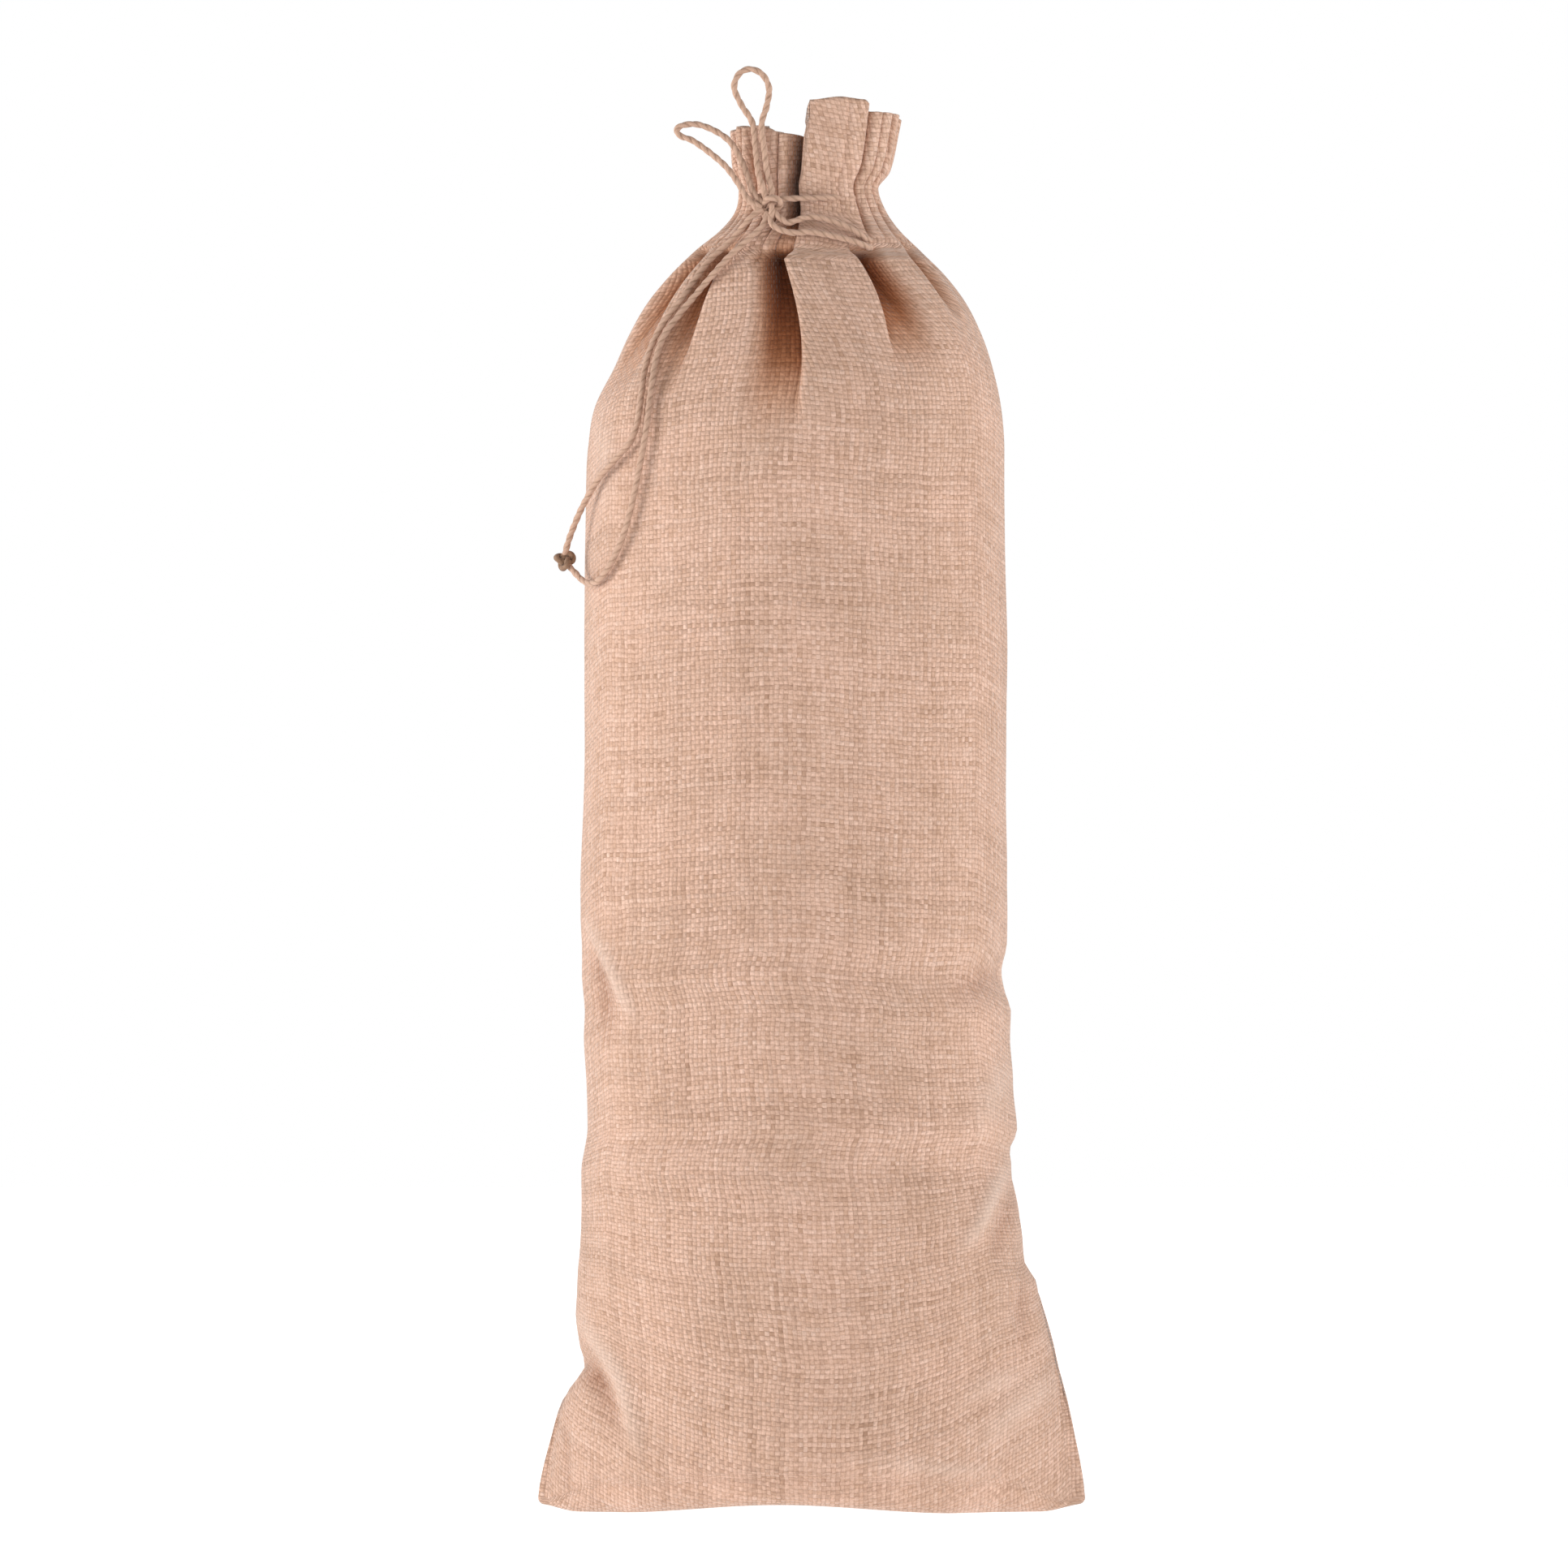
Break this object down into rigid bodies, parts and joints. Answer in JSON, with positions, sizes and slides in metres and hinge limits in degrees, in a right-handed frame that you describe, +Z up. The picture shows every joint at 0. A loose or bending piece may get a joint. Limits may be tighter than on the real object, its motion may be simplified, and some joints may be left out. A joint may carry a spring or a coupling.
{
  "type": "jute wine bag",
  "caption": "Upright jute cloth bag for a wine bottle, its pleated neck drawn in and tied in a bow with jute twine, with flat sewn corners at the base.",
  "frame": {"origin": "on the surface the bag stands on, under the middle of the bag's box without its free twine", "axes": "+Z up along the bag, +X to the right as the front is seen, +Y from the front to the back, so the bow is on the -Y side"},
  "size_m": [0.1359, 0.0794, 0.3573],
  "materials": {
    "jute_cloth": "coarse plain weave, matt",
    "jute_twine": "twisted fibre, matt"
  },
  "bodies": {
    "root": {"front_panel": "jute_cloth", "back_panel": "jute_cloth", "neck_twine": "jute_twine", "upper_strand": "jute_twine", "lower_strand": "jute_twine", "bow_knot": "jute_twine", "loop_up": "jute_twine", "loop_left": "jute_twine", "tail_left": "jute_twine", "tail_right": "jute_twine", "end_knot": "jute_twine"}
  },
  "joints": []
}
